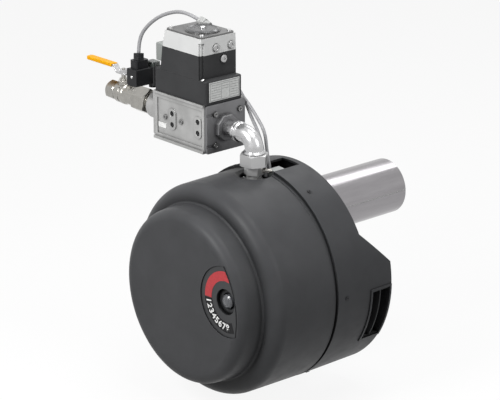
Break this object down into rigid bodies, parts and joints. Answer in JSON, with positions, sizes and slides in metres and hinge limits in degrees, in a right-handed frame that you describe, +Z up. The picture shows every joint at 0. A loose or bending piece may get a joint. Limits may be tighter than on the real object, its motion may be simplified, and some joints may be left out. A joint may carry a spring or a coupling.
{
  "type": "gas burner",
  "caption": "Forced-draught gas burner: round hood and air-intake shell on a flame tube, with a valve train above.",
  "frame": {"origin": "on the flame tube's axis, in the plane of the air-intake box's rear face", "axes": "+Y along the flame tube, into the boiler; +Z up; +X towards the air intake, right as the operator faces the hood. The gas inlet is at -X."},
  "size_m": [0.6535, 0.489, 0.6236],
  "materials": {
    "hood_plastic": "satin, charcoal",
    "shell_paint": "satin, charcoal",
    "ring_print": "satin, grey ring with a printed scale",
    "button_clear": "clear smoked push button",
    "tube_steel": "brushed, stainless",
    "zinc": "zinc plated",
    "nickel": "nickel plated brass",
    "cast_light": "bare die casting",
    "cast_dark": "dark die casting",
    "cast_base": "bare casting",
    "coil_black": "moulded, black",
    "band_grey": "moulded, light grey",
    "plate_dark": "satin, dark grey",
    "label": "blank plate",
    "black_rubber": "moulded",
    "cable_grey": "sheathed cable",
    "grip_yellow": "dipped, yellow",
    "plug_black": "moulded, black",
    "cover_clear": "clear, slightly green",
    "motor_paint": "satin, dark grey",
    "device_plastic": "moulded, grey",
    "ceramic": "glazed ceramic"
  },
  "bodies": {
    "burner": {"rear_shell": "shell_paint", "shell_screws": "zinc", "intake_grille": "coil_black", "base_plate": "cast_base", "plate_bolts": "zinc", "cable_grommet": "black_rubber", "flame_tube": "tube_steel", "mixing_housing": "cast_base", "gas_flange": "zinc", "flange_screws": "zinc", "gas_lance": "zinc", "diffuser": "tube_steel", "lance_spider": "zinc", "ignition_electrode": "ceramic", "ionisation_probe": "ceramic", "fan_volute": "cast_base", "fan_motor": "motor_paint", "motor_end_cap": "motor_paint", "motor_capacitor": "device_plastic", "control_base": "device_plastic", "control_unit": "coil_black", "ignition_transformer": "coil_black", "air_pressure_switch": "device_plastic", "damper_actuator": "device_plastic", "union_tail": "zinc", "test_nipple": "nickel", "union_nut": "zinc", "pipe_elbow": "zinc", "valve_body": "cast_light", "valve_screws": "zinc", "outlet_flange": "cast_dark", "inlet_flange": "cast_light", "coil_housing": "coil_black", "coil_band": "band_grey", "top_plate": "plate_dark", "top_cap": "coil_black", "top_screws": "zinc", "blanking_plugs": "coil_black", "nameplate": "label", "terminal_box": "band_grey", "top_gland": "device_plastic", "inlet_nipple": "nickel", "ball_valve_body": "nickel", "gas_pressure_switch": "coil_black", "switch_cover": "cover_clear", "connector_plug": "plug_black", "plug_gland": "plug_black", "signal_cable": "cable_grey", "valve_cable_a": "cable_grey", "valve_cable_b": "cable_grey"},
    "hood": {"hood": "hood_plastic", "reset_ring": "ring_print"},
    "reset_button": {"reset_button": "button_clear"},
    "handle": {"valve_ball": "nickel", "valve_lever": "zinc", "lever_grip": "grip_yellow", "lever_nut": "zinc"},
    "fan": {"fan_wheel": "zinc", "motor_shaft": "zinc"},
    "damper": {"air_damper": "zinc"}
  },
  "joints": [
    {"name": "hood_slide", "type": "slide", "parent": "burner", "child": "hood", "axis": [0, -1, 0], "range_m": [0, 0.25]},
    {"name": "reset_press", "type": "slide", "parent": "hood", "child": "reset_button", "axis": [0, 1, 0], "range_m": [0, 0.004], "stiffness_N_per_m": 400},
    {"name": "lever_turn", "type": "hinge", "parent": "burner", "child": "handle", "pos_m": [-0.356, -0.146, 0.16], "axis": [0, 0, 1], "range_deg": [0, 90]},
    {"name": "fan_spin", "type": "hinge", "parent": "burner", "child": "fan", "pos_m": [0, -0.118, -0.172], "axis": [0, 1, 0], "continuous": true},
    {"name": "damper_turn", "type": "hinge", "parent": "burner", "child": "damper", "pos_m": [0.112, -0.1, -0.18], "axis": [0, 1, 0], "range_deg": [0, 90]}
  ]
}
